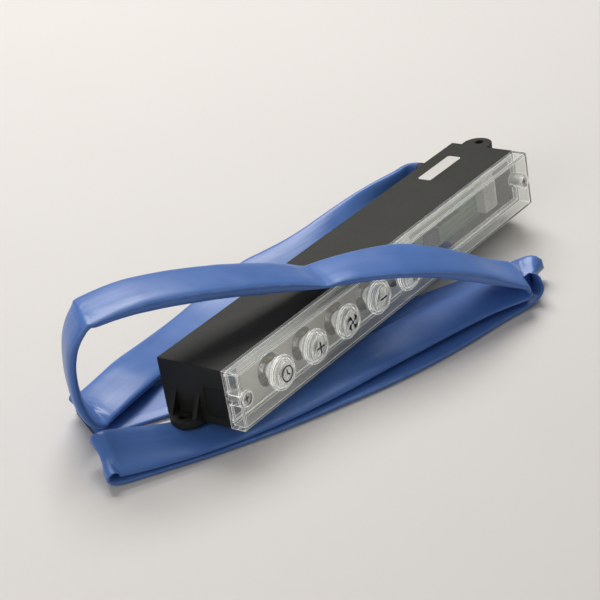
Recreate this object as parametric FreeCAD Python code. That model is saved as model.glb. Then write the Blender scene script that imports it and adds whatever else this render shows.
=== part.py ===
"""Push-button control unit of a cooker hood, with its folded harness sleeve.

The unit is drawn square to its own axes, in millimetres: X runs along the length from the near end to
the far end, Y from the clear front to the back wall, Z up.  It is then leaned back about its rear lower
edge, the way it lies on its own sleeve, and lifted clear of the table.  The sleeve is drawn straight in
that table frame.  The origin of everything is the middle of the unit's own bounding box.
"""
import FreeCAD, Part
import math
import os

from FreeCAD import Base

V = Base.Vector
os.makedirs("parts", exist_ok=True)

# Housing and cover
LENGTH = 250.0
HEIGHT = 29.5
HOUSING_DEPTH = 38.5
COVER_DEPTH = 9.0
WALL = 2.0
COVER_WALL = 1.6
EDGE_ROUND = 1.5
COVER_BEVEL = 0.9
RIM_LIP = 1.2
RIM_LIP_DEPTH = 1.4
LIP_CLEARANCE = 0.25

# Mounting lugs, one at the foot of the near end and one at the head of the far end
LUG_WIDTH = 16.0
LUG_REACH = 10.5
LUG_THICKNESS = 4.0
LUG_HOLE = 4.4
LUG_HOLE_REACH = 5.0
LUG_SETBACK = 15.0
GUSSET_THICKNESS = 2.2
GUSSET_RISE = 11.0
GUSSET_REACH = 6.0
POCKET_DEPTH = 1.0
POCKET_WIDTH = 11.0
POCKET_HEIGHT = 15.0

# Push buttons
BUTTON_NAMES = ("timer", "plus", "fan", "minus", "lamp")
BUTTON_FIRST = 30.0
BUTTON_PITCH = 26.0
BUTTON_RADIUS = 6.5
BUTTON_PROUD = 3.6
BUTTON_CLEARANCE = 0.35
BUTTON_TRAVEL = 0.8
BUTTON_FLANGE = 1.3
BUTTON_FLANGE_THICKNESS = 1.2
BUTTON_RING_STEP = 1.1
BUTTON_RINGS = 4
BUTTON_STEM_RADIUS = 2.2
COLLAR_WIDTH = 1.5
COLLAR_PROUD = 1.0

# Circuit board and what stands on it
BOARD_INSET = 3.4
BOARD_THICKNESS = 1.6
BOARD_SETBACK = 8.5
BOARD_MARGIN = 1.2
SWITCH_SIDE = 6.0
SWITCH_HEIGHT = 3.6
STEM_RADIUS = 1.6
STEM_LENGTH = 1.6
LED_RADIUS = 1.5
LED_HEIGHT = 3.0
LED_OFFSET = 9.0
LED_COLLAR = 0.4
PLATE_THICKNESS = 1.2
PLATE_SETBACK = 0.6
PLATE_OVERHANG = 3.0
CHIP_SIZE = (12.0, 1.8, 8.0)
CHIP_PINS = 7
CHIP_PIN = (0.6, 0.4, 1.3)
CHIP_FROM_END = 72.0
CHIP_DROP = 4.75
HEADER_SIZE = (11.0, 5.6, 19.0)
HEADER_WALL = 1.2
HEADER_FLOOR = 1.6
HEADER_PINS = 5
HEADER_PIN = 0.8
HEADER_FROM_END = 22.0
RESISTOR_COUNT = 8
RESISTOR_SIZE = (3.2, 1.2, 1.6)
RESISTOR_PITCH = 5.0
RESISTOR_GAP = 2.0
RESISTOR_ROWS = (5.0, -1.0)
TRANSFORMER_LENGTH = 34.0
TRANSFORMER_DEPTH = 20.0
TRANSFORMER_FROM_END = 45.0
TRANSFORMER_GAP = 0.4
WINDING_PROUD = 2.4
WINDING_INSET = 8.0
WINDING_STEP = 3.0
RELAY_SIZE = (19.0, 15.0, 15.5)
RELAY_COUNT = 3
RELAY_PITCH = 23.0
RELAY_GAP = 4.0
RELAY_CHAMFER = 0.8
CAPACITOR_RADIUS = 5.0
CAPACITOR_LENGTH = 18.0
CAPACITOR_FROM_END = 88.0
FILM_CAPACITOR_SIZE = (18.0, 12.0, 8.0)
FILM_CAPACITOR_FROM_END = 72.0
FILM_CAPACITOR_DROP = 1.6
FUSE_RADIUS = 2.6
FUSE_LENGTH = 20.0
FUSE_FROM_END = 59.0
FUSE_RISE = 6.5
FUSE_CAP = 5.0
PLUG_SIZE = (18.0, 9.0, 12.0)
PLUG_FROM_END = 47.0
SOCKET_WALL = 1.2
PLUG_PLAY = 0.15
SOCKET_DEPTH = 7.0
WIRE_RADIUS = 0.9
WIRE_COUNT = 4
WIRE_PITCH = 3.0
WIRE_TURN = 5.0
WIRE_END = 0.5

# Fasteners
COVER_SCREW_INSET = 4.6
COVER_SCREW_HEAD = 3.0
COVER_SCREW_SHANK = 1.5
COVER_SCREW_LENGTH = 14.0
COVER_SCREW_HEAD_HEIGHT = 1.8
SCREW_WELL_WALL = 0.9
SCREW_WELL_DEPTH = 2.6
SCREW_BOSS_WALL = 1.6
BOARD_SCREW_INSET = 13.5
BOARD_SCREW_HEAD = 2.4
BOARD_SCREW_SHANK = 1.2
BOARD_SCREW_LENGTH = 7.0
BOARD_SCREW_HEAD_HEIGHT = 1.5
BOARD_POST_RADIUS = 3.0
THREAD_CLEARANCE = 0.1

# Label on the top and sleeve outlet in the back wall
LABEL_LENGTH = 30.0
LABEL_WIDTH = 8.0
LABEL_THICKNESS = 0.3
LABEL_FROM_END = 31.0
LABEL_FROM_BACK = 13.0
LABEL_CORNER = 1.5
OUTLET_FROM_END = 24.0
OUTLET_HEIGHT = 22.0
OUTLET_WIDTH = 8.0
OUTLET_COLLAR_WALL = 1.6
OUTLET_COLLAR_LENGTH = 5.0
OUTLET_FLANGE = 1.6
SEAT_CLEARANCE = 0.3

# How the unit lies: leaned back about its rear lower edge, on one thickness of sleeve
LEAN = 11.0
LIFT = 3.8

# Flat harness sleeve
SLEEVE_WIDTH = 25.0
SLEEVE_THICKNESS = 2.4
SLEEVE_EDGE = 1.2
ARC_SHARE = 0.45
GENTLE_STEPS = 2
SHARP_STEPS = 6
SHARP_TURN = 40.0

FRONT = -HOUSING_DEPTH - COVER_DEPTH
MIDDLE = HEIGHT / 2
HALF = LENGTH / 2
BOARD_FRONT = -HOUSING_DEPTH + BOARD_SETBACK
BOARD_BACK = BOARD_FRONT + BOARD_THICKNESS
COVER_INSIDE = FRONT + COVER_WALL
PLATE_FRONT = -HOUSING_DEPTH - PLATE_SETBACK
BOARD_EDGE = WALL + BOARD_MARGIN
OUTLET_PLACE = HALF - OUTLET_FROM_END
PLUG_PLACE = HALF - PLUG_FROM_END
TRANSFORMER_PLACE = -HALF + TRANSFORMER_FROM_END


def block(x, y, z, size):
    """A box with its low corner at x, y, z."""
    return Part.makeBox(size[0], size[1], size[2], V(x, y, z))


def span(low, high):
    """A box between two opposite corners."""
    return Part.makeBox(high[0] - low[0], high[1] - low[1], high[2] - low[2], V(*low))


def rod(x, y, z, radius, length):
    """A round bar whose axis runs from x, y, z towards the back."""
    return Part.makeCylinder(radius, length, V(x, y, z), V(0, 1, 0))


def upright(x, y, z, radius, height):
    """A round bar whose axis runs up."""
    return Part.makeCylinder(radius, height, V(x, y, z), V(0, 0, 1))


def lathe(x, z, profile):
    """A turned piece on a front-to-back axis, from pairs of radius and depth."""
    points = [V(x + radius, depth, z) for radius, depth in profile]
    outline = Part.makePolygon(points + points[:1])
    return Part.Face(outline).revolve(V(x, 0, z), V(0, 1, 0), 360)


def rounded_slot(x, y, z, width, height, length):
    """An upright slot-shaped bar with round ends, its axis running back."""
    radius = width / 2
    core = block(x - radius, y, z - height / 2 + radius, (width, length, height - width))
    low = rod(x, y, z - height / 2 + radius, radius, length)
    high = rod(x, y, z + height / 2 - radius, radius, length)
    return core.fuse([low, high]).removeSplitter()


def edges_along(shape, axis, test):
    """The straight edges of a shape that run along one axis and pass a test on their middle."""
    found = []
    for edge in shape.Edges:
        if len(edge.Vertexes) != 2:
            continue
        run = edge.Vertexes[1].Point - edge.Vertexes[0].Point
        if run.Length > 1e-6 and abs(abs(run.normalize().dot(axis)) - 1) < 1e-6:
            if test(edge.CenterOfMass):
                found.append(edge)
    return found


def turned_over(shape):
    """The same shape at the other end: half a turn about the front-to-back axis."""
    copy = shape.copy()
    copy.rotate(V(0, 0, MIDDLE), V(0, 1, 0), 180)
    return copy


def button_x(index):
    return -HALF + BUTTON_FIRST + BUTTON_PITCH * index


def lug():
    """Lug at the foot of the near end: a tab with a round end, and a leaning rib on each flank."""
    tip = -HALF - LUG_REACH
    nose = LUG_WIDTH / 2
    tab = span((tip + nose, -LUG_SETBACK - nose, 0), (-HALF, -LUG_SETBACK + nose, LUG_THICKNESS))
    tab = tab.fuse(upright(tip + nose, -LUG_SETBACK, 0, nose, LUG_THICKNESS)).removeSplitter()
    for side in (-1, 1):
        flank = -LUG_SETBACK + side * (nose - GUSSET_THICKNESS / 2)
        foot = V(-HALF - GUSSET_REACH, flank - GUSSET_THICKNESS / 2, LUG_THICKNESS)
        root = V(-HALF, flank - GUSSET_THICKNESS / 2, LUG_THICKNESS)
        head = V(-HALF, flank - GUSSET_THICKNESS / 2, LUG_THICKNESS + GUSSET_RISE)
        rib = Part.Face(Part.makePolygon([foot, root, head, foot])).extrude(V(0, GUSSET_THICKNESS, 0))
        tab = tab.fuse(rib)
    hole = upright(-HALF - LUG_HOLE_REACH, -LUG_SETBACK, -1, LUG_HOLE / 2, LUG_THICKNESS + 2)
    return tab.cut(hole)


def end_pocket():
    """Shallow pocket in the near end face, beside the lug and behind the cover."""
    low = (-HALF - 1, -HOUSING_DEPTH + WALL, LUG_THICKNESS)
    high = (-HALF + POCKET_DEPTH, -HOUSING_DEPTH + WALL + POCKET_WIDTH, LUG_THICKNESS + POCKET_HEIGHT)
    return span(low, high)


def screw_x():
    return HALF - COVER_SCREW_INSET


def make_housing():
    """Open-fronted moulded tub with lugs, end pockets, screw bosses and board posts."""
    tub = span((-HALF, -HOUSING_DEPTH, 0), (HALF, 0, HEIGHT))
    rounded = edges_along(tub, V(1, 0, 0), lambda middle: middle.y > -EDGE_ROUND)
    rounded += edges_along(tub, V(0, 0, 1), lambda middle: middle.y > -EDGE_ROUND)
    tub = tub.makeFillet(EDGE_ROUND, rounded)
    hollow = span((-HALF + WALL, -HOUSING_DEPTH - 1, WALL), (HALF - WALL, -WALL, HEIGHT - WALL))
    tub = tub.cut(hollow)
    tub = tub.fuse([lug(), turned_over(lug())])
    tub = tub.cut(Part.makeCompound([end_pocket(), turned_over(end_pocket())]))
    boss_radius = COVER_SCREW_SHANK + SCREW_BOSS_WALL
    additions = []
    holes = []
    for side in (-1, 1):
        additions.append(rod(side * screw_x(), -HOUSING_DEPTH, MIDDLE, boss_radius, HOUSING_DEPTH - WALL))
        bore = COVER_SCREW_SHANK + THREAD_CLEARANCE
        holes.append(rod(side * screw_x(), -HOUSING_DEPTH - 1, MIDDLE, bore, COVER_SCREW_LENGTH))
        for level in (-1, 1):
            place = (side * (HALF - BOARD_SCREW_INSET), MIDDLE + level * post_rise())
            additions.append(rod(place[0], BOARD_BACK, place[1], BOARD_POST_RADIUS, -WALL - BOARD_BACK))
            bore = BOARD_SCREW_SHANK + THREAD_CLEARANCE
            holes.append(rod(place[0], BOARD_BACK - 1, place[1], bore, BOARD_SCREW_LENGTH + 1))
    tub = tub.fuse(additions)
    holes.append(rounded_slot(OUTLET_PLACE, -WALL - 1, MIDDLE, outlet_width(), outlet_height(), WALL + 2))
    return tub.cut(Part.makeCompound(holes)).removeSplitter()


def outlet_width():
    return OUTLET_WIDTH + 2 * OUTLET_COLLAR_WALL


def outlet_height():
    return OUTLET_HEIGHT + 2 * OUTLET_COLLAR_WALL


def post_rise():
    return MIDDLE - BOARD_INSET - BOARD_POST_RADIUS


def make_front_cover():
    """Clear tray over the front: bevelled rim, button collars, screw wells and a locating lip."""
    tray = span((-HALF, FRONT, 0), (HALF, -HOUSING_DEPTH, HEIGHT))
    rim = [edge for edge in tray.Edges if abs(edge.CenterOfMass.y - FRONT) < 1e-6]
    tray = tray.makeChamfer(COVER_BEVEL, rim)
    hollow = span((-HALF + COVER_WALL, COVER_INSIDE, COVER_WALL),
                  (HALF - COVER_WALL, -HOUSING_DEPTH + 1, HEIGHT - COVER_WALL))
    tray = tray.cut(hollow)
    gap = WALL + LIP_CLEARANCE
    lip = span((-HALF + gap, -HOUSING_DEPTH, gap), (HALF - gap, -HOUSING_DEPTH + RIM_LIP_DEPTH, HEIGHT - gap))
    root = COVER_WALL / 2
    lip = lip.fuse(span((-HALF + root, -HOUSING_DEPTH - RIM_LIP, root),
                        (HALF - root, -HOUSING_DEPTH, HEIGHT - root)))
    inner = gap + RIM_LIP
    lip = lip.cut(span((-HALF + inner, -HOUSING_DEPTH - 9, inner), (HALF - inner, 0, HEIGHT - inner)))
    well = COVER_SCREW_HEAD + SCREW_WELL_WALL
    boss_room = COVER_SCREW_SHANK + SCREW_BOSS_WALL + SEAT_CLEARANCE
    for side in (-1, 1):
        lip = lip.cut(rod(side * screw_x(), -HOUSING_DEPTH, MIDDLE, boss_room, RIM_LIP_DEPTH + 1))
    tray = tray.fuse(lip)
    solids = []
    holes = []
    for side in (-1, 1):
        solids.append(rod(side * screw_x(), FRONT, MIDDLE, well, COVER_DEPTH))
        holes.append(rod(side * screw_x(), FRONT - 1, MIDDLE, COVER_SCREW_HEAD + 0.4, SCREW_WELL_DEPTH + 1))
        holes.append(rod(side * screw_x(), FRONT, MIDDLE, COVER_SCREW_SHANK + 0.2, COVER_DEPTH + 1))
    bore = BUTTON_RADIUS + BUTTON_CLEARANCE
    for index in range(len(BUTTON_NAMES)):
        collar = rod(button_x(index), FRONT - COLLAR_PROUD, MIDDLE, bore + COLLAR_WIDTH, COLLAR_PROUD + 0.5)
        solids.append(collar)
        holes.append(rod(button_x(index), FRONT - 2, MIDDLE, bore, COVER_WALL + 4))
    edge = span((-HALF, FRONT - 2, -1), (HALF, 0, HEIGHT + 1))
    tray = tray.fuse([solid.common(edge) for solid in solids])
    return tray.cut(Part.makeCompound(holes)).removeSplitter()


def flange_front():
    """The button's flange stops behind the front wall."""
    return COVER_INSIDE + 0.1


def switch_front():
    return BOARD_FRONT - SWITCH_HEIGHT - STEM_LENGTH


def make_button(index):
    """Clear plunger: dished cap, guided barrel, stop flange, stepped rings and a pressing stem."""
    face = FRONT - BUTTON_PROUD
    flange = BUTTON_RADIUS + BUTTON_FLANGE
    profile = [(0, face + 0.35), (BUTTON_RADIUS - 1.6, face + 0.35), (BUTTON_RADIUS - 1.2, face)]
    profile += [(BUTTON_RADIUS - 0.5, face), (BUTTON_RADIUS, face + 0.5)]
    profile += [(BUTTON_RADIUS, flange_front()), (flange, flange_front())]
    depth = flange_front() + BUTTON_FLANGE_THICKNESS
    profile.append((flange, depth))
    ring = BUTTON_RADIUS - 0.6
    for step in range(BUTTON_RINGS):
        profile.append((ring, depth))
        depth += BUTTON_RING_STEP
        profile.append((ring, depth))
        ring -= 0.7
    profile.append((BUTTON_STEM_RADIUS, depth))
    profile.append((BUTTON_STEM_RADIUS, switch_front() - 0.05))
    profile.append((0, switch_front() - 0.05))
    return lathe(button_x(index), MIDDLE, profile)


def make_switch_stem(index):
    """Plunger of the tact switch, pushed by the button's stem."""
    top = Part.makeCylinder(STEM_RADIUS, STEM_LENGTH, V(button_x(index), switch_front(), MIDDLE), V(0, 1, 0))
    return top


def make_switches():
    """Tact switch bodies, one behind each button, each with a well that its plunger sinks into."""
    bodies = []
    for index in range(len(BUTTON_NAMES)):
        x = button_x(index)
        front = BOARD_FRONT - SWITCH_HEIGHT
        size = (SWITCH_SIDE, SWITCH_HEIGHT, SWITCH_SIDE)
        body = block(x - SWITCH_SIDE / 2, front, MIDDLE - SWITCH_SIDE / 2, size)
        well = rod(x, front - 1, MIDDLE, STEM_RADIUS + 0.3, BUTTON_TRAVEL + 1.4)
        bodies.append(body.cut(well))
    return Part.makeCompound(bodies)


def make_light_plate():
    """Frosted key plate behind the clear cover, with a round window for every button."""
    start = -HALF + 2 * COVER_SCREW_INSET + 1.5
    end = button_x(len(BUTTON_NAMES) - 1) + BUTTON_PITCH / 2 + PLATE_OVERHANG
    room = WALL + LIP_CLEARANCE + RIM_LIP + SEAT_CLEARANCE
    plate = span((start, PLATE_FRONT, room), (end, PLATE_FRONT + PLATE_THICKNESS, HEIGHT - room))
    holes = []
    for index in range(len(BUTTON_NAMES)):
        window = BUTTON_RADIUS + BUTTON_FLANGE + BUTTON_CLEARANCE
        holes.append(rod(button_x(index), PLATE_FRONT - 1, MIDDLE, window, PLATE_THICKNESS + 2))
    for post in plate_posts():
        plate = plate.fuse(post)
    return plate.cut(Part.makeCompound(holes))


def plate_posts():
    """Legs that stand the key plate on the board, between the buttons."""
    posts = []
    for index in range(len(BUTTON_NAMES) - 1):
        x = button_x(index) + BUTTON_PITCH / 2
        posts.append(rod(x, PLATE_FRONT, MIDDLE, 1.5, BOARD_FRONT - PLATE_FRONT))
    return posts


def make_board():
    """Long circuit board, held by four screws on the posts of the tub."""
    margin = BOARD_EDGE
    board = span((-HALF + 2 * COVER_SCREW_INSET + 1.5, BOARD_FRONT, margin),
                 (HALF - 2 * COVER_SCREW_INSET - 1.5, BOARD_BACK, HEIGHT - margin))
    holes = []
    for x, z in board_screw_places():
        holes.append(rod(x, BOARD_FRONT - 1, z, BOARD_SCREW_SHANK + 0.2, BOARD_THICKNESS + 2))
    return board.cut(Part.makeCompound(holes))


def board_screw_places():
    places = []
    for side in (-1, 1):
        for level in (-1, 1):
            places.append((side * (HALF - BOARD_SCREW_INSET), MIDDLE + level * post_rise()))
    return places


def screw(x, y, z, head, head_height, shank, length):
    """Pan-head screw seen from the front, with a cross recess cut in its head."""
    body = rod(x, y, z, head, head_height).fuse(rod(x, y + head_height, z, shank, length))
    arm = head * 0.62
    slot = span((x - arm, y - 1, z - 0.35), (x + arm, y + head_height * 0.6, z + 0.35))
    cross = slot.fuse(span((x - 0.35, y - 1, z - arm), (x + 0.35, y + head_height * 0.6, z + arm)))
    return body.cut(cross).removeSplitter()


def make_cover_screws():
    seat = FRONT + SCREW_WELL_DEPTH
    length = COVER_SCREW_LENGTH - 2
    return Part.makeCompound([
        screw(side * screw_x(), seat - COVER_SCREW_HEAD_HEIGHT, MIDDLE, COVER_SCREW_HEAD,
              COVER_SCREW_HEAD_HEIGHT, COVER_SCREW_SHANK, length)
        for side in (-1, 1)])


def make_board_screws():
    return Part.makeCompound([
        screw(x, BOARD_FRONT - BOARD_SCREW_HEAD_HEIGHT, z, BOARD_SCREW_HEAD, BOARD_SCREW_HEAD_HEIGHT,
              BOARD_SCREW_SHANK, BOARD_SCREW_LENGTH)
        for x, z in board_screw_places()])


def make_leds():
    """A lamp beside each button: a blunt lens on a collar, standing on the board."""
    lamps = []
    base = BOARD_FRONT
    nose = base - LED_HEIGHT
    for index in range(len(BUTTON_NAMES)):
        wide = LED_RADIUS + LED_COLLAR
        step = base - 2 * LED_COLLAR
        profile = [(0, base), (wide, base), (wide, step), (LED_RADIUS, step)]
        profile += [(LED_RADIUS, nose), (LED_RADIUS * 0.6, nose - LED_RADIUS * 0.6)]
        profile.append((0, nose - LED_RADIUS * 0.8))
        lamps.append(lathe(button_x(index) + LED_OFFSET, MIDDLE, profile))
    return Part.makeCompound(lamps)


def make_chip():
    """Microcontroller on the front of the board, with a row of leads along each side."""
    length, height, width = CHIP_SIZE
    x = HALF - CHIP_FROM_END
    z = MIDDLE - CHIP_DROP
    chip = block(x - length / 2, BOARD_FRONT - height, z - width / 2, CHIP_SIZE)
    leads = []
    for index in range(CHIP_PINS):
        place = x + (index - (CHIP_PINS - 1) / 2) * length / CHIP_PINS - CHIP_PIN[0] / 2
        leads.append(block(place, BOARD_FRONT - CHIP_PIN[1], z + width / 2, CHIP_PIN))
        leads.append(block(place, BOARD_FRONT - CHIP_PIN[1], z - width / 2 - CHIP_PIN[2], CHIP_PIN))
    return chip.fuse(leads).removeSplitter()


def make_header():
    """White service header on the front of the board, open towards the cover, with its row of pins."""
    x = HALF - HEADER_FROM_END - HEADER_SIZE[0] / 2
    z = MIDDLE - HEADER_SIZE[2] / 2
    front = BOARD_FRONT - HEADER_SIZE[1]
    shell = block(x, front, z, HEADER_SIZE)
    far = (x + HEADER_SIZE[0] - HEADER_WALL, BOARD_FRONT - HEADER_FLOOR, z + HEADER_SIZE[2] - HEADER_WALL)
    well = span((x + HEADER_WALL, front - 1, z + HEADER_WALL), far)
    pins = []
    pitch = (HEADER_SIZE[2] - 2 * HEADER_WALL) / HEADER_PINS
    for index in range(HEADER_PINS):
        level = MIDDLE + (index - (HEADER_PINS - 1) / 2) * pitch - HEADER_PIN / 2
        middle = x + HEADER_SIZE[0] / 2 - HEADER_PIN / 2
        length = HEADER_SIZE[1] - HEADER_PIN
        pins.append(block(middle, front + HEADER_PIN, level, (HEADER_PIN, length, HEADER_PIN)))
    return shell.cut(well).fuse(pins).removeSplitter()


def make_resistors():
    """Two rows of surface resistors, past the chip."""
    parts = []
    start = HALF - CHIP_FROM_END + CHIP_SIZE[0] / 2 + RESISTOR_GAP
    for row in RESISTOR_ROWS:
        for index in range(RESISTOR_COUNT // len(RESISTOR_ROWS)):
            x = start + RESISTOR_PITCH * index
            parts.append(block(x, BOARD_FRONT - RESISTOR_SIZE[1], MIDDLE + row, RESISTOR_SIZE))
    return Part.makeCompound(parts)


def make_transformer():
    """Mains transformer behind the board: laminated core with its winding standing proud above and below."""
    x = TRANSFORMER_PLACE - TRANSFORMER_LENGTH / 2
    low = WALL + TRANSFORMER_GAP
    core = span((x, BOARD_BACK, low + WINDING_PROUD),
                (x + TRANSFORMER_LENGTH, BOARD_BACK + TRANSFORMER_DEPTH, HEIGHT - low - WINDING_PROUD))
    back = BOARD_BACK + TRANSFORMER_DEPTH - WINDING_STEP
    winding = span((x + WINDING_INSET, BOARD_BACK, low),
                   (x + TRANSFORMER_LENGTH - WINDING_INSET, back, HEIGHT - low))
    winding = winding.makeFillet(WINDING_PROUD / 2, edges_along(winding, V(0, 1, 0), lambda middle: True))
    return core.fuse(winding).removeSplitter()


def make_relays():
    """Relay cases in a row, with their outer edges taken off."""
    parts = []
    start = TRANSFORMER_PLACE + TRANSFORMER_LENGTH / 2 + RELAY_GAP
    for index in range(RELAY_COUNT):
        case = block(start + RELAY_PITCH * index, BOARD_BACK, MIDDLE - RELAY_SIZE[2] / 2, RELAY_SIZE)
        outer = [edge for edge in case.Edges if abs(edge.CenterOfMass.y - BOARD_BACK - RELAY_SIZE[1]) < 1e-6]
        parts.append(case.makeChamfer(RELAY_CHAMFER, outer))
    return Part.makeCompound(parts)


def make_capacitor():
    """Electrolytic can standing on the back of the board, with its rolled neck."""
    can = CAPACITOR_RADIUS
    base = BOARD_BACK
    profile = [(0, base), (can, base), (can, base + 1.6), (can - 0.5, base + 2.2), (can, base + 2.8)]
    profile += [(can, base + CAPACITOR_LENGTH - 0.6), (can - 0.6, base + CAPACITOR_LENGTH)]
    profile.append((0, base + CAPACITOR_LENGTH))
    return lathe(HALF - CAPACITOR_FROM_END, MIDDLE, profile)


def make_film_capacitor():
    """Boxed film capacitor near the upper edge of the board."""
    x = HALF - FILM_CAPACITOR_FROM_END - FILM_CAPACITOR_SIZE[0] / 2
    z = HEIGHT - BOARD_EDGE - FILM_CAPACITOR_DROP - FILM_CAPACITOR_SIZE[2]
    return block(x, BOARD_BACK, z, FILM_CAPACITOR_SIZE)


def make_fuse():
    """Fuse tube with two end caps on clips, lying on the back of the board near its lower edge."""
    x = HALF - FUSE_FROM_END - FUSE_LENGTH
    axis = V(1, 0, 0)
    y = BOARD_BACK + FUSE_RADIUS + SEAT_CLEARANCE
    z = BOARD_EDGE + FUSE_RISE
    tube = Part.makeCylinder(FUSE_RADIUS - SEAT_CLEARANCE, FUSE_LENGTH, V(x, y, z), axis)
    pieces = []
    for start in (x, x + FUSE_LENGTH - FUSE_CAP):
        pieces.append(Part.makeCylinder(FUSE_RADIUS, FUSE_CAP, V(start, y, z), axis))
        clip = FUSE_RADIUS / 2
        pieces.append(span((start + 1, BOARD_BACK, z - clip), (start + FUSE_CAP - 1, y, z + clip)))
    return tube.fuse(pieces).removeSplitter()


def make_socket():
    """Harness socket on the back of the board."""
    x = PLUG_PLACE - PLUG_SIZE[0] / 2
    z = MIDDLE - PLUG_SIZE[2] / 2
    shell = block(x, BOARD_BACK, z, (PLUG_SIZE[0], SOCKET_DEPTH, PLUG_SIZE[2]))
    far = (x + PLUG_SIZE[0] - SOCKET_WALL, BOARD_BACK + SOCKET_DEPTH + 1, z + PLUG_SIZE[2] - SOCKET_WALL)
    well = span((x + SOCKET_WALL, BOARD_BACK + SOCKET_WALL, z + SOCKET_WALL), far)
    return shell.cut(well)


def plug_back():
    return BOARD_BACK + SOCKET_WALL + PLUG_SIZE[1]


def make_plug():
    """Harness plug, pushed into the socket with a little play."""
    play = SOCKET_WALL + PLUG_PLAY
    x = PLUG_PLACE - PLUG_SIZE[0] / 2 + play
    z = MIDDLE - PLUG_SIZE[2] / 2 + play
    size = (PLUG_SIZE[0] - 2 * play, PLUG_SIZE[1], PLUG_SIZE[2] - 2 * play)
    return block(x, BOARD_BACK + SOCKET_WALL, z, size)


def wire_path(index):
    """A wire leaves the plug, turns towards the outlet and turns again into it."""
    level = MIDDLE + WIRE_PITCH * (index - (WIRE_COUNT - 1) / 2) * 0.75
    start = V(PLUG_PLACE + WIRE_PITCH * (index - (WIRE_COUNT - 1) / 2), plug_back(), level)
    turn = plug_back() + WIRE_TURN
    mouth = WIRE_END
    return [start, V(start.x, turn, level), V(OUTLET_PLACE, turn, level), V(OUTLET_PLACE, mouth, level)]


def make_wires():
    """Loose wires from the plug to the outlet, with mitred bends."""
    wires = []
    for index in range(WIRE_COUNT):
        points = wire_path(index)
        ring = Part.Wire(Part.makeCircle(WIRE_RADIUS, points[0], V(0, 1, 0)))
        wires.append(Part.makePolygon(points).makePipeShell([ring], True, False, 1))
    return Part.makeCompound(wires)


def make_outlet():
    """Slotted collar clipped in the back wall: the sleeve comes out of it standing on edge."""
    barrel_start = -WALL - OUTLET_FLANGE
    length = OUTLET_FLANGE + WALL + OUTLET_COLLAR_LENGTH
    width = outlet_width() - 2 * SEAT_CLEARANCE
    height = outlet_height() - 2 * SEAT_CLEARANCE
    barrel = rounded_slot(OUTLET_PLACE, barrel_start, MIDDLE, width, height, length)
    grow = 2 * OUTLET_FLANGE
    inner = rounded_slot(OUTLET_PLACE, barrel_start, MIDDLE, width + grow, height - 0.4, OUTLET_FLANGE)
    outer = rounded_slot(OUTLET_PLACE, 0, MIDDLE, width + grow, height + 0.4, OUTLET_FLANGE)
    bore = rounded_slot(OUTLET_PLACE, barrel_start - 1, MIDDLE, OUTLET_WIDTH, OUTLET_HEIGHT, length + 2)
    return barrel.fuse([inner, outer]).cut(bore).removeSplitter()


def make_label():
    """Bare label on the top, with rounded corners."""
    x = HALF - LABEL_FROM_END - LABEL_LENGTH / 2
    y = -LABEL_FROM_BACK - LABEL_WIDTH / 2
    plate = block(x, y, HEIGHT, (LABEL_LENGTH, LABEL_WIDTH, LABEL_THICKNESS))
    return plate.makeFillet(LABEL_CORNER, edges_along(plate, V(0, 0, 1), lambda middle: True))


# Sleeve route in the table frame: X from the middle of the unit, Y from its rear lower edge, Z above the
# table, then the plan angle and the rise of the sleeve's width.  Each run goes on to the next one's start.
BACK_RUN = [
    (101, 7.75, 17.32, 90, 79), (101, 13.6, 16.18, 90, 79), (88, 15.5, 14, 90, 80), (66, 18, 13.4, 90, 74),
    (46, 20.4, 12.4, 90, 62), (24, 24.5, 9.6, 90, 40), (4, 31.5, 6.6, 90, 22), (-10, 37.5, 4.2, 90, 10),
    (-36, 38.5, 1.4, 90, 0), (-58, 36.5, 1.4, 90, 0), (-88, 33.5, 3.6, 90, 0), (-110, 30, 7.2, 86, 0)]
ARCH = [
    (-124, 27.5, 8.6, 80, 0), (-148, 25.5, 9.6, 64, 0), (-156.8, 27.2, 24, 50, 0), (-158, 28, 41, 48, 0),
    (-153.6, 26, 55, 49, 0), (-143, 20.8, 62.4, 52, 0), (-122, 11, 63.8, 56, 0), (-98, -0.5, 61, 60, 0),
    (-70, -14, 54.8, 62, -2), (-44, -26.5, 46.6, 62, -6), (-23, -37.5, 45.6, 62, -3),
    (-9, -46, 45.4, 62, 8), (8, -55, 39.2, 63, 18), (30, -64.5, 28.4, 65, 12)]
UPPER_RUN = [
    (50, -72.5, 17.4, 67, 0), (64, -79.5, 13.4, 66, 0), (64, -79.5, 7.2, 70, 0), (50, -74.5, 7.2, 71, 0),
    (32, -68, 7.2, 75, 0), (4, -61.5, 7.2, 78, 0), (-30, -54, 7.2, 74, 0), (-64, -46, 5.4, 70, 0),
    (-97, -36.5, 4.2, 68, 0), (-130, -24, 4, 65, 0)]
LOWER_RUN = [
    (-160, -10, 5.2, 60, 0), (-173.5, -3.5, 7.6, 54, 0), (-173.5, -3.5, 2.4, 54, 0),
    (-158, -10.5, 1.4, 60, 0), (-130, -24.5, 1.4, 66, 0), (-97, -38, 1.4, 68, 0), (-64, -49.5, 1.4, 70, 0),
    (-28, -61, 1.4, 74, 0), (8, -68.5, 1.4, 80, 0), (38, -72.5, 1.4, 82, 0)]
UNDER_RUN = [
    (60, -74.5, 1.4, 82, 0), (80, -77.5, 3.6, 64, 10), (80.5, -76.5, 9.4, 60, 14), (69, -70, 4.5, 67, 0),
    (46, -61, 4.2, 66, 0), (22, -52, 4.2, 66, 0), (-8, -38.5, 4.2, 66, 0), (-36, -26, 1.9, 66, 0),
    (-72, -10, 1.4, 66, 0), (-106, 5, 1.4, 65, 0), (-130, 16.5, 1.4, 66, 0), (-151, 26.5, 1.4, 72, 0)]

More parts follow.
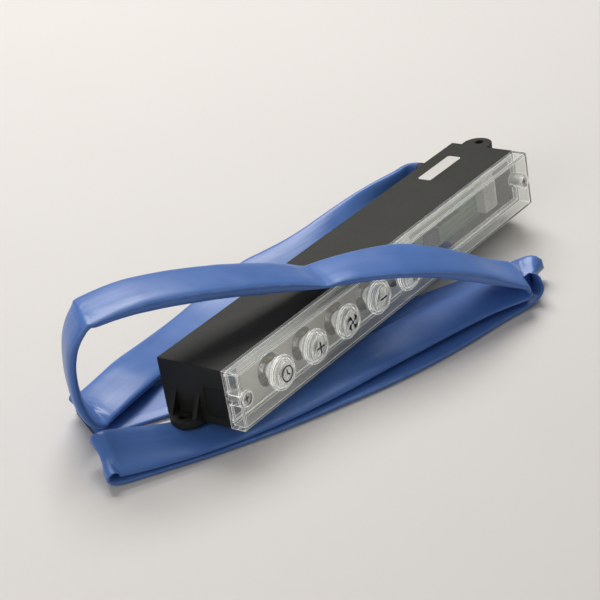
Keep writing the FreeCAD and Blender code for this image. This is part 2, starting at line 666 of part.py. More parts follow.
SLEEVE_RUNS = {
    "sleeve_back_run": BACK_RUN,
    "sleeve_arch": ARCH,
    "sleeve_upper_run": UPPER_RUN,
    "sleeve_lower_run": LOWER_RUN,
    "sleeve_under_run": UNDER_RUN}


def width_direction(angle, rise):
    flat = math.cos(math.radians(rise))
    return V(flat * math.cos(math.radians(angle)), flat * math.sin(math.radians(angle)),
             math.sin(math.radians(rise)))


def band_section(centre, heading, across):
    """Flat six-sided section of the sleeve, square to its heading."""
    across = (across - heading * across.dot(heading)).normalize()
    normal = heading.cross(across)
    half = SLEEVE_WIDTH / 2
    flat = half - SLEEVE_EDGE
    deep = SLEEVE_THICKNESS / 2
    corners = [(-half, 0), (-flat, deep), (flat, deep), (half, 0), (flat, -deep), (-flat, -deep)]
    points = [centre + across * side + normal * height for side, height in corners]
    return Part.makePolygon(points + points[:1])


def bend_stations(before, corner, after):
    """Stations round one bend: centre, heading and width direction, with the bend's radius."""
    point, across = corner
    back = before[0] - point
    ahead = after[0] - point
    turn = math.pi - back.getAngle(ahead)
    trim = ARC_SHARE * min(back.Length, ahead.Length)
    radius = trim / math.tan(turn / 2)
    entry = across + (before[1] - across) * (trim / back.Length)
    leave = across + (after[1] - across) * (trim / ahead.Length)
    back.normalize()
    ahead.normalize()
    centre = point + (back + ahead).normalize() * math.hypot(trim, radius)
    axis = back.cross(ahead).normalize()
    steps = SHARP_STEPS if math.degrees(turn) > SHARP_TURN else GENTLE_STEPS
    stations = []
    for step in range(steps + 1):
        share = 2 * step / steps
        width = entry + (across - entry) * share if share < 1 else across + (leave - across) * (share - 1)
        turned = Base.Rotation(axis, -math.degrees(turn) * share / 2)
        spoke = turned.multVec(point + back * trim - centre)
        stations.append((centre + spoke, turned.multVec(back * -1), width))
    return stations, radius


def route_stations():
    """Stations of the whole sleeve, grouped by route point, and the radius of every bend."""
    route = [(V(*row[:3]), width_direction(*row[3:])) for run in SLEEVE_RUNS.values() for row in run]
    bends = [bend_stations(*rows) for rows in zip(route, route[1:], route[2:])]
    first = [(route[0][0], (route[1][0] - route[0][0]).normalize(), route[0][1])]
    last = [(route[-1][0], (route[-1][0] - route[-2][0]).normalize(), route[-1][1])]
    return [first] + [stations for stations, radius in bends] + [last], [radius for stations, radius in bends]


def make_bands():
    """The runs of flat sleeve, skinned through their stations.  Two runs meet in the middle of a bend."""
    groups, radii = route_stations()
    print("sleeve bend radii", [round(radius, 1) for radius in radii])
    bands = {}
    start = 0
    for name, run in SLEEVE_RUNS.items():
        end = min(start + len(run), len(groups) - 1)
        stations = groups[start][len(groups[start]) // 2:]
        for group in groups[start + 1:end]:
            stations = stations + group
        stations = stations + groups[end][:len(groups[end]) // 2 + 1]
        length = sum((b[0] - a[0]).Length for a, b in zip(stations, stations[1:]))
        bands[name] = Part.makeLoft([band_section(*station) for station in stations], True, True)
        print(name, "length", round(length, 1), "volume", round(bands[name].Volume))
        start = end
    return bands


def lean(shape):
    """Lay the unit on the table: leaned back about its rear lower edge and lifted."""
    copy = shape.copy()
    copy.rotate(V(0, 0, 0), V(1, 0, 0), -LEAN)
    copy.translate(V(0, 0, LIFT))
    return copy


def unit_pieces():
    """Every rigid piece of the unit, square to its own axes."""
    pieces = {
        "housing": make_housing(),
        "front_cover": make_front_cover(),
        "light_plate": make_light_plate(),
        "control_board": make_board(),
        "tact_switches": make_switches(),
        "indicator_leds": make_leds(),
        "cover_screws": make_cover_screws(),
        "board_screws": make_board_screws(),
        "controller_chip": make_chip(),
        "service_header": make_header(),
        "resistors": make_resistors(),
        "transformer": make_transformer(),
        "relays": make_relays(),
        "electrolytic_capacitor": make_capacitor(),
        "film_capacitor": make_film_capacitor(),
        "fuse": make_fuse(),
        "harness_socket": make_socket(),
        "harness_plug": make_plug(),
        "harness_wires": make_wires(),
        "sleeve_outlet": make_outlet(),
        "top_label": make_label()}
    for index, name in enumerate(BUTTON_NAMES):
        pieces["button_" + name] = make_button(index)
        pieces["switch_stem_" + name] = make_switch_stem(index)
    return pieces


unit = {name: lean(shape) for name, shape in unit_pieces().items()}
frame_box = Part.makeCompound(list(unit.values())).optimalBoundingBox(False)
origin = frame_box.Center
print("origin in the table frame", [round(value, 3) for value in origin])

unit.update(make_bands())

for name, shape in unit.items():
    shape.translate(origin * -1)
    shape.exportStep("parts/" + name + ".step")
    if not shape.isValid():
        print("not valid", name)
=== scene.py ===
"""Looks of a cooker-hood control unit with its folded harness sleeve.

The rigid pieces keep their solids and get procedural finishes.  The flat sleeve and the printed key symbols
are modelled here, and the table, light and camera follow the photograph.
"""

import math

import bpy
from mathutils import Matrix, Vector, noise as field


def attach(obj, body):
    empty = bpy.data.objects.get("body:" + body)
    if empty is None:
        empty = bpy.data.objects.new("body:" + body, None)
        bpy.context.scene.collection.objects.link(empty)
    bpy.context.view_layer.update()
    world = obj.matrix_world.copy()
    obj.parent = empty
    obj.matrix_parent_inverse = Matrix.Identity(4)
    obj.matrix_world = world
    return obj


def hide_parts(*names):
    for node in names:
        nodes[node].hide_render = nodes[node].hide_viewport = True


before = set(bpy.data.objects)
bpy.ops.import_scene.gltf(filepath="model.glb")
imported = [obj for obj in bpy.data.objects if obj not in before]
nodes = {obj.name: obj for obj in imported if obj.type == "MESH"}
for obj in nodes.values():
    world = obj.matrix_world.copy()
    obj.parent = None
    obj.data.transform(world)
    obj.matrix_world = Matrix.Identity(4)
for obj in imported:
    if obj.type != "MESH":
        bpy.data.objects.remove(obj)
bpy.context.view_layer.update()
scene = bpy.context.scene

# How the unit lies: its lean, and in millimetres its lift and the middle of its box in the table frame
PER_METRE = 1000
LEAN = math.radians(11.0)
LIFT = 3.8
ORIGIN = Vector((0.0, -19.211, 22.854))
TABLE = -ORIGIN.z / PER_METRE

# The keys in the unit's own axes, in millimetres
KEYS = ("timer", "plus", "fan", "minus", "lamp")
KEY_FIRST = -95.0
KEY_PITCH = 26.0
KEY_FACE = -50.75
KEY_LEVEL = 14.75
INK_HEIGHT = 0.05


def table_point(x, y, z):
    """A point of the table frame, in metres of the shared frame."""
    return (Vector((x, y, z)) - ORIGIN) / PER_METRE


def unit_point(x, y, z):
    """A point of the leaned unit's own axes, in metres of the shared frame."""
    back = y * math.cos(LEAN) + z * math.sin(LEAN)
    up = z * math.cos(LEAN) - y * math.sin(LEAN) + LIFT
    return table_point(x, back, up)


def add_mesh(name, vertices, faces, smooth=False):
    mesh = bpy.data.meshes.new(name)
    mesh.from_pydata([tuple(v) for v in vertices], [], faces)
    if smooth:
        mesh.shade_smooth()
    piece = bpy.data.objects.new(name, mesh)
    scene.collection.objects.link(piece)
    return piece


# Shader helpers

def put(tree, kind, inputs=None, **settings):
    """A new node; inputs maps a socket name or number to a value or to another node's output."""
    node = tree.nodes.new(kind)
    for key, value in settings.items():
        setattr(node, key, value)
    for key, value in (inputs or {}).items():
        if isinstance(value, bpy.types.NodeSocket):
            tree.links.new(value, node.inputs[key])
        else:
            node.inputs[key].default_value = value
    return node


def remap(tree, value, low, high, start=0.0, end=1.0):
    """A value between two limits, spread over a new range."""
    node = put(tree, "ShaderNodeMapRange", {"Value": value, "From Min": low, "From Max": high,
                                            "To Min": start, "To Max": end})
    return node.outputs["Result"]


def blend(tree, factor, first, second):
    """Two colours mixed by a factor."""
    node = put(tree, "ShaderNodeMix", {0: factor}, data_type="RGBA")
    for socket, colour in ((node.inputs[6], first), (node.inputs[7], second)):
        if isinstance(colour, bpy.types.NodeSocket):
            tree.links.new(colour, socket)
        else:
            socket.default_value = (*colour, 1.0)
    return node.outputs[2]


def math_node(tree, operation, first, second):
    return put(tree, "ShaderNodeMath", {0: first, 1: second}, operation=operation).outputs[0]


# Effects that several finishes share

def make_grain():
    """Surface unevenness: broad cloudiness and fine grain, in metres of the part."""
    tree = bpy.data.node_groups.new("grain", "ShaderNodeTree")
    tree.interface.new_socket("Size", in_out="INPUT", socket_type="NodeSocketFloat").default_value = 1.0
    for name in ("Broad", "Fine"):
        tree.interface.new_socket(name, in_out="OUTPUT", socket_type="NodeSocketFloat")
    size = tree.nodes.new("NodeGroupInput").outputs["Size"]
    place = put(tree, "ShaderNodeTexCoord").outputs["Object"]
    place = put(tree, "ShaderNodeVectorMath", {0: place, "Scale": size}, operation="SCALE").outputs[0]
    broad = put(tree, "ShaderNodeTexNoise", {"Vector": place, "Scale": 45.0, "Detail": 3.0}).outputs[0]
    fine = put(tree, "ShaderNodeTexNoise", {"Vector": place, "Scale": 1600.0, "Detail": 2.0}).outputs[0]
    out = tree.nodes.new("NodeGroupOutput")
    tree.links.new(remap(tree, broad, 0.3, 0.7), out.inputs["Broad"])
    tree.links.new(remap(tree, fine, 0.25, 0.75), out.inputs["Fine"])
    return tree


def make_edge_light():
    """Mask of a moulding's edges, for their painted glow: nothing on its faces, and one where its corners
    turn.
    """
    tree = bpy.data.node_groups.new("edge_light", "ShaderNodeTree")
    tree.interface.new_socket("Width", in_out="INPUT", socket_type="NodeSocketFloat")
    tree.interface.new_socket("Edge", in_out="OUTPUT", socket_type="NodeSocketFloat")
    width = tree.nodes.new("NodeGroupInput").outputs["Width"]
    face = put(tree, "ShaderNodeNewGeometry").outputs["True Normal"]
    rounded = put(tree, "ShaderNodeBevel", {"Radius": width}, samples=6).outputs[0]
    along = put(tree, "ShaderNodeVectorMath", {0: face, 1: rounded}, operation="DOT_PRODUCT").outputs["Value"]
    out = tree.nodes.new("NodeGroupOutput")
    tree.links.new(remap(tree, along, 0.985, 0.80), out.inputs["Edge"])
    return tree


GRAIN = make_grain()
EDGE_LIGHT = make_edge_light()
GRAIN_DEPTH = 0.0002
EDGE_WIDTH = 0.0005
# colour of the painted glow on the clear plastics' edges
EDGE_GLOW_COLOUR = (1.0, 1.0, 0.97)
NO_LIGHT = (0.0, 0.0, 0.0)
SHADOW_OF_CLEAR = 0.12


def new_material(name):
    """A material with its node tree and its surface shader."""
    material = bpy.data.materials.new(name)
    material.use_nodes = True
    tree = material.node_tree
    return material, tree, tree.nodes["Principled BSDF"]


def finish_material(name, light, dark, rough, grain=1.0, bump=0.0, corner=0.0, **sockets):
    """A surface that drifts between two colours and roughnesses, with a fine bump and softened corners."""
    material, tree, bsdf = new_material(name)
    wear = put(tree, "ShaderNodeGroup", {"Size": grain}, node_tree=GRAIN)
    tree.links.new(blend(tree, wear.outputs["Broad"], dark, light), bsdf.inputs["Base Color"])
    tree.links.new(remap(tree, wear.outputs["Fine"], 0.0, 1.0, *rough), bsdf.inputs["Roughness"])
    if bump:
        relief = {"Height": wear.outputs["Fine"], "Distance": GRAIN_DEPTH, "Strength": bump}
        if corner:
            relief["Normal"] = put(tree, "ShaderNodeBevel", {"Radius": corner}, samples=4).outputs[0]
        tree.links.new(put(tree, "ShaderNodeBump", relief).outputs[0], bsdf.inputs["Normal"])
    for key, value in sockets.items():
        bsdf.inputs[key.replace("_", " ")].default_value = value
    return material


def clear_material(name, light, dark, rough, haze, glow, grain=1.0):
    """Moulded clear plastic: a little milky, with a painted highlight on its edges, which glow by emission
    though they are no lamp.
    """
    material = finish_material(name, light, dark, rough, grain, IOR=1.49, Transmission_Weight=1.0 - haze,
                               Emission_Strength=glow)
    tree = material.node_tree
    bsdf = tree.nodes["Principled BSDF"]
    edge = put(tree, "ShaderNodeGroup", {"Width": EDGE_WIDTH}, node_tree=EDGE_LIGHT).outputs["Edge"]
    # painted highlight: the edges glow with this colour by emission
    tree.links.new(blend(tree, edge, NO_LIGHT, EDGE_GLOW_COLOUR), bsdf.inputs["Emission Color"])
    shadow = put(tree, "ShaderNodeLightPath").outputs["Is Shadow Ray"]
    tree.links.new(remap(tree, shadow, 0.0, 1.0, 1.0, SHADOW_OF_CLEAR), bsdf.inputs["Alpha"])
    return material


def sleeve_material():
    """Soft satin PVC: lengthwise flow lines, faint crumple near the folds, and paler side edges on the top
    face that are a painted highlight.
    """
    material, tree, bsdf = new_material("sleeve_blue")
    wear = put(tree, "ShaderNodeGroup", node_tree=GRAIN)
    run = put(tree, "ShaderNodeUVMap", uv_map="run").outputs[0]
    fold = put(tree, "ShaderNodeAttribute", attribute_name="fold").outputs["Fac"]
    edge = put(tree, "ShaderNodeAttribute", attribute_name="edge").outputs["Fac"]
    lines = put(tree, "ShaderNodeMapping", {"Vector": run, "Scale": (14.0, 160.0, 1.0)}).outputs[0]
    flow = put(tree, "ShaderNodeTexNoise", {"Vector": lines, "Scale": 1.0, "Detail": 4.0}).outputs[0]
    cross = put(tree, "ShaderNodeMapping", {"Vector": run, "Scale": (150.0, 60.0, 1.0),
                                            "Rotation": (0.0, 0.0, 0.5)}).outputs[0]
    crumple = put(tree, "ShaderNodeTexNoise", {"Vector": cross, "Scale": 1.0, "Detail": 3.0}).outputs[0]

    colour = blend(tree, wear.outputs["Broad"], (0.054, 0.150, 0.465), (0.072, 0.188, 0.530))
    colour = blend(tree, remap(tree, flow, 0.55, 0.75, 0.0, 0.35), colour, (0.120, 0.240, 0.580))
    # painted highlight: a paler line along each side edge of the top face, broken up by the crumple noise
    painted_edge_highlight = math_node(tree, "MULTIPLY", edge, remap(tree, crumple, 0.3, 0.62))
    colour = blend(tree, math_node(tree, "MULTIPLY", painted_edge_highlight, 0.55), colour, (0.22, 0.33, 0.62))
    tree.links.new(colour, bsdf.inputs["Base Color"])
    tree.links.new(remap(tree, flow, 0.3, 0.7, 0.44, 0.30), bsdf.inputs["Roughness"])

    creased = math_node(tree, "MULTIPLY", crumple, math_node(tree, "MULTIPLY", fold, 2.4))
    height = math_node(tree, "ADD", math_node(tree, "MULTIPLY", flow, 0.35), creased)
    relief = put(tree, "ShaderNodeBump", {"Height": height, "Distance": 0.0012, "Strength": 0.45})
    tree.links.new(relief.outputs[0], bsdf.inputs["Normal"])
    bsdf.inputs["Specular IOR Level"].default_value = 0.55
    bsdf.inputs["Sheen Weight"].default_value = 0.06
    return material


def board_material():
    """Green solder mask with pale copper runs under it."""
    material = finish_material("board_green", (0.130, 0.260, 0.130), (0.095, 0.200, 0.100), (0.3, 0.42),
                               grain=2.0, bump=0.1)
    tree = material.node_tree
    bsdf = tree.nodes["Principled BSDF"]
    mask = bsdf.inputs["Base Color"].links[0].from_socket
    place = put(tree, "ShaderNodeTexCoord").outputs["Object"]
    upright = (LEAN + math.pi / 2, 0.0, 0.0)
    turned = put(tree, "ShaderNodeMapping", {"Vector": place, "Rotation": upright}).outputs[0]
    runs = put(tree, "ShaderNodeTexBrick", {"Vector": turned, "Scale": 1.0, "Mortar Size": 0.0006,
                                            "Mortar Smooth": 0.1, "Brick Width": 0.021, "Row Height": 0.0031})
    copper = math_node(tree, "MULTIPLY", runs.outputs["Fac"], 0.6)
    tree.links.new(blend(tree, copper, mask, (0.23, 0.38, 0.20)), bsdf.inputs["Base Color"])
    return material


# Finishes: light and dark colour, then the range of roughness

black = finish_material("housing_black", (0.017, 0.0175, 0.0145), (0.011, 0.0115, 0.009), (0.42, 0.58),
                        bump=0.3, corner=0.0012, Specular_IOR_Level=0.32)
clear = clear_material("cover_clear", (0.97, 0.98, 0.955), (0.93, 0.945, 0.915), (0.015, 0.05),
                       haze=0.12, glow=0.85)
key_clear = clear_material("key_clear", (0.97, 0.975, 0.955), (0.93, 0.94, 0.915), (0.04, 0.10),
                           haze=0.16, glow=0.60, grain=1.6)
glass = clear_material("fuse_glass", (0.95, 0.96, 0.95), (0.90, 0.92, 0.91), (0.02, 0.06),
                       haze=0.2, glow=0.4)
frost = finish_material("frosted_plate", (0.80, 0.80, 0.755), (0.70, 0.70, 0.66), (0.42, 0.55), bump=0.2)
white = finish_material("white_nylon", (0.88, 0.87, 0.84), (0.80, 0.79, 0.76), (0.4, 0.55),
                        grain=1.4, bump=0.15)
steel = finish_material("screw_zinc", (0.62, 0.62, 0.60), (0.50, 0.50, 0.49), (0.22, 0.36),
                        grain=2.0, bump=0.1, Metallic=1.0)
epoxy = finish_material("moulded_epoxy", (0.022, 0.022, 0.024), (0.014, 0.014, 0.015), (0.42, 0.56),
                        grain=2.0, bump=0.2)
lamp_lens = finish_material("lamp_lens", (0.80, 0.70, 0.34), (0.72, 0.60, 0.26), (0.15, 0.25), grain=2.0)
label = finish_material("label_face", (0.66, 0.65, 0.62), (0.60, 0.59, 0.565), (0.45, 0.6), bump=0.1)
tape = finish_material("winding_tape", (0.56, 0.43, 0.12), (0.46, 0.34, 0.08), (0.3, 0.42),
                       grain=1.5, bump=0.2)
relay = finish_material("relay_case", (0.05, 0.12, 0.32), (0.035, 0.09, 0.26), (0.2, 0.32), grain=1.2)
can = finish_material("can_sleeve", (0.05, 0.05, 0.075), (0.035, 0.035, 0.05), (0.2, 0.3), grain=1.5)
film = finish_material("film_case", (0.50, 0.28, 0.07), (0.42, 0.22, 0.05), (0.25, 0.4),
                       grain=1.5, bump=0.1)
jacket = finish_material("wire_jacket", (0.34, 0.09, 0.06), (0.26, 0.06, 0.045), (0.4, 0.5),
                         grain=2.0, bump=0.1)
switch = finish_material("switch_case", (0.46, 0.46, 0.43), (0.38, 0.38, 0.355), (0.4, 0.52),
                         grain=2.0, bump=0.1)
stem = finish_material("stem_plastic", (0.62, 0.56, 0.44), (0.54, 0.48, 0.37), (0.4, 0.5), grain=2.0)
ink = finish_material("symbol_ink", (0.016, 0.016, 0.017), (0.010, 0.010, 0.011), (0.55, 0.7),
                      grain=2.0, Specular_IOR_Level=0.2)
# painted shade: a darker blue for the sleeve's cut end, standing in for the shade inside the open tube
hollow_shade = finish_material("sleeve_hollow_shade", (0.020, 0.040, 0.115), (0.012, 0.026, 0.080), (0.5, 0.6))
paper = finish_material("table_paper", (0.735, 0.715, 0.695), (0.725, 0.705, 0.685), (0.6, 0.7), grain=0.2)
green = board_material()
blue = sleeve_material()

LOOKS = {
    "housing": black, "sleeve_outlet": black, "front_cover": clear, "light_plate": frost,
    "control_board": green, "tact_switches": switch, "indicator_leds": lamp_lens, "cover_screws": steel,
    "board_screws": steel, "controller_chip": epoxy, "service_header": white, "resistors": epoxy,
    "transformer": tape, "relays": relay, "electrolytic_capacitor": can, "film_capacitor": film,
    "fuse": glass, "harness_socket": white, "harness_plug": white, "harness_wires": jacket,
    "top_label": label}
for key in KEYS:
    LOOKS["button_" + key] = key_clear
    LOOKS["switch_stem_" + key] = stem

for name, finish in LOOKS.items():
    nodes[name].data.materials.clear()
    nodes[name].data.materials.append(finish)

# Sleeve route: place in the table frame, plan angle and rise of the width, and how far it is puffed up
BACK_RUN = [
    (101, 7.75, 17.32, 90, 79, 4), (101, 13.6, 16.18, 90, 79, 5), (88, 15.5, 14, 90, 74, 6),
    (66, 18, 13.4, 90, 42, 6), (46, 20.4, 12.4, 90, 24, 6), (24, 24.5, 9.6, 90, 13, 5),
    (4, 31.5, 6.6, 90, 7, 5), (-10, 37.5, 4.2, 90, 10, 4), (-36, 38.5, 1.4, 90, 0, 2.6),
    (-58, 36.5, 1.4, 90, 0, 2.6), (-88, 33.5, 3.6, 90, 0, 4), (-110, 30, 7.2, 86, 0, 5)]
ARCH = [
    (-124, 27.5, 8.2, 80, 0, 5), (-146, 25.8, 7.8, 66, 0, 4), (-152.4, 25.6, 9.2, 58, 0, 4),
    (-157.4, 27, 23, 50, 0, 5), (-158.4, 28, 41, 48, 0, 5), (-156.6, 27.4, 53, 48, 0, 5),
    (-151.8, 25.2, 61.4, 50, 0, 4), (-149.2, 23.9, 62.6, 52, 0, 4), (-136, 17.6, 64.4, 54, 0, 6),
    (-122, 11, 64.2, 56, 0, 7), (-98, -0.5, 60.8, 60, 0, 7), (-72, -13, 54.8, 62, -2, 7),
    (-56, -20.6, 50.2, 62, -4, 6), (-45.4, -25.9, 46.4, 62, -6, 2.4), (-43.2, -27, 46.2, 62, -6, 2.4),
    (-33, -32, 46, 62, -4, 5), (-16, -41.6, 45, 62, 3, 4.5), (-2, -49.5, 42.6, 62, 9, 4.6),
    (10, -56, 38.2, 63, 7, 6), (30, -64.5, 28.4, 65, 4, 7)]
UPPER_RUN = [
    (48, -72, 18, 64, 1, 5), (59.6, -78.8, 13.2, 50, 1, 3), (59.6, -78.8, 7.4, 54, 0, 2.6),
    (48, -74, 7.2, 68, 0, 2.8), (32, -68, 7.2, 75, 0, 3.2), (4, -61.5, 7.2, 78, 0, 4.6),
    (-30, -54, 7.2, 74, 0, 5), (-64, -46, 5.4, 70, 0, 4), (-97, -36.5, 4.2, 68, 0, 3),
    (-130, -24, 4, 65, 1, 2.8)]
LOWER_RUN = [
    (-160, -10, 8.4, 60, 17, 3.4), (-173.5, -3.5, 11, 54, 22, 3), (-173.5, -3.5, 5.8, 54, 22, 2.4),
    (-158, -10.5, 4.2, 60, 15, 2.4), (-130, -24.5, 1.4, 66, 0, 2.4), (-97, -38, 1.4, 68, 0, 2.4),
    (-64, -49.5, 1.4, 70, 0, 2.6), (-28, -61, 1.4, 74, 0, 2.6), (8, -68.5, 1.4, 80, 0, 2.6),
    (38, -72.5, 1.4, 82, 0, 2.6)]
UNDER_RUN = [
    (54, -76, 1.6, 76, 0, 2.6), (67, -78.6, 4.2, 40, 5, 2.8), (72, -79.6, 10.4, 27, 14, 3),
    (65, -71.5, 5.4, 60, 2, 2.4), (46, -61, 4.2, 66, 0, 2.4), (22, -52, 4.2, 66, 0, 2.4),
    (-8, -38.5, 4.2, 66, 0, 2.4), (-36, -26, 1.9, 66, 0, 2.4), (-72, -10, 1.4, 66, 0, 2.4),
    (-106, 5, 1.4, 65, 0, 2.4), (-130, 16.5, 1.4, 66, 0, 2.4), (-151, 26.5, 1.4, 72, 0, 2.4)]

# Section of the sleeve: width in metres, points of one ring, and how square its sides and faces are
SLEEVE_WIDTH = 25.0 / PER_METRE
RING = 40
SIDE_POWER = 0.55
FACE_POWER = 0.62
DENTS = ((55.0, 0.10), (150.0, 0.04))
# where across the width the painted edge highlight lies, and how wide it is
EDGE_LINE = 0.94
EDGE_LINE_WIDTH = 0.05
UNDERSIDE_SHIFT = 0.05

# A fold is judged over some stations each way, and a full one turns by this many radians a metre
FOLD_REACH = 8
FOLD_LEAST_SPAN = 0.004
FULL_FOLD = 90.0


def spline_points(points):
    """The points of a smooth line drawn towards the given ones."""
    curve = bpy.data.curves.new("line", "CURVE")
    curve.dimensions = "3D"
    curve.resolution_u = 12
    spline = curve.splines.new("NURBS")
    spline.points.add(len(points) - 1)
    for target, point in zip(spline.points, points):
        target.co = (*point, 1.0)
    spline.order_u = 3
    spline.use_endpoint_u = True
    holder = bpy.data.objects.new("line", curve)
    scene.collection.objects.link(holder)
    bpy.context.view_layer.update()
    mesh = bpy.data.meshes.new_from_object(holder)
    found = [vertex.co.copy() for vertex in mesh.vertices]
    bpy.data.objects.remove(holder)
    bpy.data.curves.remove(curve)
    bpy.data.meshes.remove(mesh)
    return found


def width_direction(angle, rise):
    flat = math.cos(math.radians(rise))
    return Vector((flat * math.cos(math.radians(angle)), flat * math.sin(math.radians(angle)),
                   math.sin(math.radians(rise))))


def line_length(points):
    return sum((b - a).length for a, b in zip(points, points[1:]))


def sleeve_stations(rows):
    """Stations along the sleeve: centre, width and face directions, puff, sharpness of fold, way gone."""
    centres = spline_points([table_point(*row[:3]) for row in rows])
    sides = spline_points([table_point(*row[:3]) + width_direction(*row[3:5]) * (SLEEVE_WIDTH / 2)
                           for row in rows])
    puffs = [point.x for point in spline_points([Vector((row[5] / PER_METRE, 0, 0)) for row in rows])]
    last = len(centres) - 1
    headings = []
    for index in range(last + 1):
        headings.append((centres[min(index + 1, last)] - centres[max(index - 1, 0)]).normalized())
    stations = []
    travelled = 0.0
    for index, (centre, side, heading) in enumerate(zip(centres, sides, headings)):
        if index:
            travelled += (centre - centres[index - 1]).length
        across = side - centre
        across = (across - heading * across.dot(heading)).normalized()
        low = max(index - FOLD_REACH, 0)
        high = min(index + FOLD_REACH, last)
        span = max((centres[high] - centres[low]).length, FOLD_LEAST_SPAN)
        fold = min(headings[low].angle(headings[high]) / span / FULL_FOLD, 1.0)
        stations.append((centre, across, heading.cross(across), puffs[index], fold, travelled))
    return stations


def tube_faces(rings):
    """Quads between neighbouring rings."""
    faces = []
    for index in range(rings - 1):
        for step in range(RING):
            a = index * RING + step
            b = index * RING + (step + 1) % RING
            faces.append((a, b, b + RING, a + RING))
    return faces


def make_sleeve(name, stations, cut_at_start):
    """A puffed flat tube through stations, with soft dents, marks for folds and for the painted highlight on
    the side edges, and a cut end capped with painted shade.
    """
    vertices = []
    folds = []
    edges = []
    runs = []
    for centre, across, normal, puff, fold, travelled in stations:
        for step in range(RING):
            angle = 2 * math.pi * step / RING
            side = math.copysign(abs(math.cos(angle)) ** SIDE_POWER, math.cos(angle))
            rise = math.copysign(abs(math.sin(angle)) ** FACE_POWER, math.sin(angle))
            point = centre + across * side * SLEEVE_WIDTH / 2
            dent = sum(field.noise(point * scale) * depth for scale, depth in DENTS)
            vertices.append(point + normal * rise * puff / 2 * (1.0 + dent))
            folds.append(fold)
            # marks the painted highlight line near each side edge of the top face
            edges.append(max(0.0, 1.0 - abs(abs(side) - EDGE_LINE) / EDGE_LINE_WIDTH) if rise > 0 else 0.0)
            runs.append((travelled, side * SLEEVE_WIDTH / 2 + (UNDERSIDE_SHIFT if rise < 0 else 0.0)))
    cut = range(RING - 1, -1, -1) if cut_at_start else range(len(vertices) - RING, len(vertices))
    piece = add_mesh(name, vertices, tube_faces(len(stations)) + [tuple(cut)], True)
    mesh = piece.data
    mesh.attributes.new("fold", "FLOAT", "POINT").data.foreach_set("value", folds)
    mesh.attributes.new("edge", "FLOAT", "POINT").data.foreach_set("value", edges)
    layer = mesh.uv_layers.new(name="run")
    for loop in mesh.loops:
        layer.data[loop.index].uv = runs[loop.vertex_index]
    mesh.materials.append(blue)
    # the cut end gets the painted shade of the tube's hollow
    mesh.materials.append(hollow_shade)
    mesh.polygons[-1].material_index = 1
    mesh.polygons[-1].use_smooth = False
    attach(piece, "unit")
    return piece, [station[0] for station in stations]


route = sleeve_stations(BACK_RUN + ARCH + UPPER_RUN + LOWER_RUN + UNDER_RUN)
split = min(range(len(route)), key=lambda index: route[index][0].x)
upper, upper_line = make_sleeve("sleeve_outlet_to_left_fold", route[:split + 1], True)
lower, lower_line = make_sleeve("sleeve_left_fold_to_end", route[split:], False)
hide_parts("sleeve_back_run", "sleeve_arch", "sleeve_upper_run")
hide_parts("sleeve_lower_run", "sleeve_under_run")
print("sleeve length", round(line_length(upper_line), 3), round(line_length(lower_line), 3))


# Printed key symbols, drawn in millimetres on each key's face
SQUARE = ((-1, -1), (1, -1), (1, 1), (-1, 1))


def polar(radius, angle, centre=(0.0, 0.0)):
    turn = math.radians(angle)
    return centre[0] + radius * math.cos(turn), centre[1] + radius * math.sin(turn)


def arc(radius, start, end, steps, centre=(0.0, 0.0)):
    return [polar(radius, start + (end - start) * step / steps, centre) for step in range(steps + 1)]


def bar(length, width, turn=0.0, centre=(0.0, 0.0)):
    c = math.cos(math.radians(turn))
    s = math.sin(math.radians(turn))
    corners = [(i * length / 2, j * width / 2) for i, j in SQUARE]
    return [(centre[0] + x * c - y * s, centre[1] + x * s + y * c) for x, y in corners]


def hoop(outer, inner, start=0.0, end=360.0, steps=36, centre=(0.0, 0.0)):
    """A ring or part of one, as short quads."""
    far = arc(outer, start, end, steps, centre)
    near = arc(inner, start, end, steps, centre)
    return [[near[i], far[i], far[i + 1], near[i + 1]] for i in range(steps)]


def clock(radius=4.0, line=0.65, stroke=0.7):
    """A round dial with its two hands."""
    hands = [bar(2.5, stroke, 90, (0.0, 1.1)), bar(1.9, stroke, -30, (0.85, -0.5))]
    return hoop(radius, radius - line) + hands


def plus(reach=5.8, stroke=0.95):
    """A level bar and the two halves of an upright one."""
    half = (reach - stroke) / 2
    away = (half + stroke) / 2
    return [bar(reach, stroke), bar(half, stroke, 90, (0.0, away)), bar(half, stroke, 90, (0.0, -away))]


def fan(root=0.5, reach=3.7, hub=0.8, lead_sweep=58, trail_sweep=22, trail_lag=8, steps=6):
    """Four swept blades round a hub, each between a trailing and a leading curve."""
    shares = [step / steps for step in range(steps + 1)]
    blades = []
    for turn in (10, 100, 190, 280):
        trail = [polar(root + reach * share, turn - trail_lag + trail_sweep * share ** 1.6)
                 for share in reversed(shares)]
        lead = [polar(root + reach * share, turn + lead_sweep * share ** 0.8) for share in shares]
        blades.append(trail + lead)
    return blades + [arc(hub, 0, 330, 11)]


def bulb(radius=2.2, line=0.6, middle=(0.0, 0.7), ray=(1.0, 0.5), ray_distance=3.3):
    """A lamp bulb with its cap and five rays."""
    cap = [bar(2.2, line, 0, (0.0, -1.6)), bar(1.6, line, 0, (0.0, -2.6))]
    rays = [bar(*ray, turn, polar(ray_distance, turn, middle)) for turn in (0, 45, 90, 135, 180)]
    return hoop(radius, radius - line, -50, 230, 28, middle) + cap + rays


def minus(reach=5.6, stroke=0.95):
    return [bar(reach, stroke)]


SYMBOLS = {"timer": clock(), "plus": plus(), "fan": fan(), "minus": minus(), "lamp": bulb()}

for number, key in enumerate(KEYS):
    middle = KEY_FIRST + KEY_PITCH * number
    vertices = []
    faces = []
    for outline in SYMBOLS[key]:
        faces.append(tuple(range(len(vertices), len(vertices) + len(outline))))
        for along, up in outline:
            vertices.append(unit_point(middle + along, KEY_FACE - INK_HEIGHT, KEY_LEVEL + up))
    symbol = add_mesh("symbol_" + key, vertices, faces)
    symbol.data.materials.append(ink)
    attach(symbol, key + "_button")

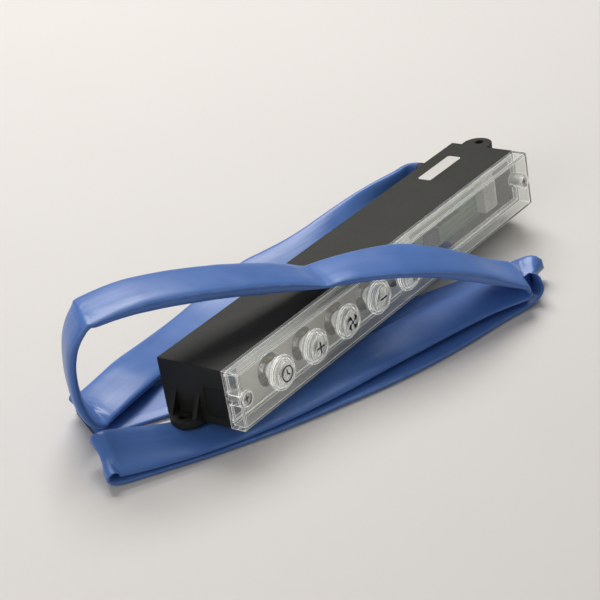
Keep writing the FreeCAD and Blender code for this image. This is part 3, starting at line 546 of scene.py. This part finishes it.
# Table, light and camera, in metres
TABLE_REACH = 6
LIGHT_COLOUR = (1.0, 0.98, 0.95)
SKY_LOW = (0.50, 0.49, 0.48)
SKY_HIGH = (1.0, 0.985, 0.965)
SKY_STRENGTH = 0.28
EYE_PLACE = (-0.7173, -0.4850, 0.5454)
EYE_DIRECTION = (0.6798, 0.4919, -0.5439)
LENS = 124.77


def turned_towards(direction):
    return Vector(direction).to_track_quat("-Z", "Y").to_euler()


def make_table():
    corners = [(i * TABLE_REACH, j * TABLE_REACH, TABLE) for i, j in SQUARE]
    table = add_mesh("table", corners, [(0, 1, 2, 3)])
    table.data.materials.append(paper)


def make_sky():
    """A soft room: darker low down, paler overhead."""
    world = bpy.data.worlds.new("studio")
    scene.world = world
    world.use_nodes = True
    tree = world.node_tree
    place = put(tree, "ShaderNodeTexCoord").outputs["Generated"]
    rise = put(tree, "ShaderNodeSeparateXYZ", {0: place}).outputs[2]
    background = tree.nodes["Background"]
    tree.links.new(blend(tree, remap(tree, rise, -0.1, 0.9), SKY_LOW, SKY_HIGH), background.inputs["Color"])
    background.inputs["Strength"].default_value = SKY_STRENGTH


def area_light(name, place, aim, size, power):
    lamp = bpy.data.lights.new(name, "AREA")
    lamp.shape = "RECTANGLE"
    lamp.size, lamp.size_y = size
    lamp.energy = power
    lamp.color = LIGHT_COLOUR
    holder = bpy.data.objects.new(name, lamp)
    holder.location = place
    holder.rotation_euler = turned_towards(Vector(aim) - Vector(place))
    scene.collection.objects.link(holder)


def make_camera():
    camera = bpy.data.cameras.new("camera")
    camera.sensor_width = 36
    camera.lens = LENS
    camera.clip_start = 0.01
    eye = bpy.data.objects.new("camera", camera)
    eye.location = EYE_PLACE
    eye.rotation_euler = turned_towards(EYE_DIRECTION)
    scene.collection.objects.link(eye)
    scene.camera = eye


make_table()
make_sky()
area_light("overhead", place=(0.50, 0.80, 1.25), aim=(0.0, 0.0, 0.0), size=(1.0, 0.8), power=22)
area_light("left_fill", place=(-1.5, 0.1, 0.75), aim=(-0.1, 0.0, 0.0), size=(0.9, 0.6), power=6)
make_camera()
scene.view_settings.view_transform = "Standard"
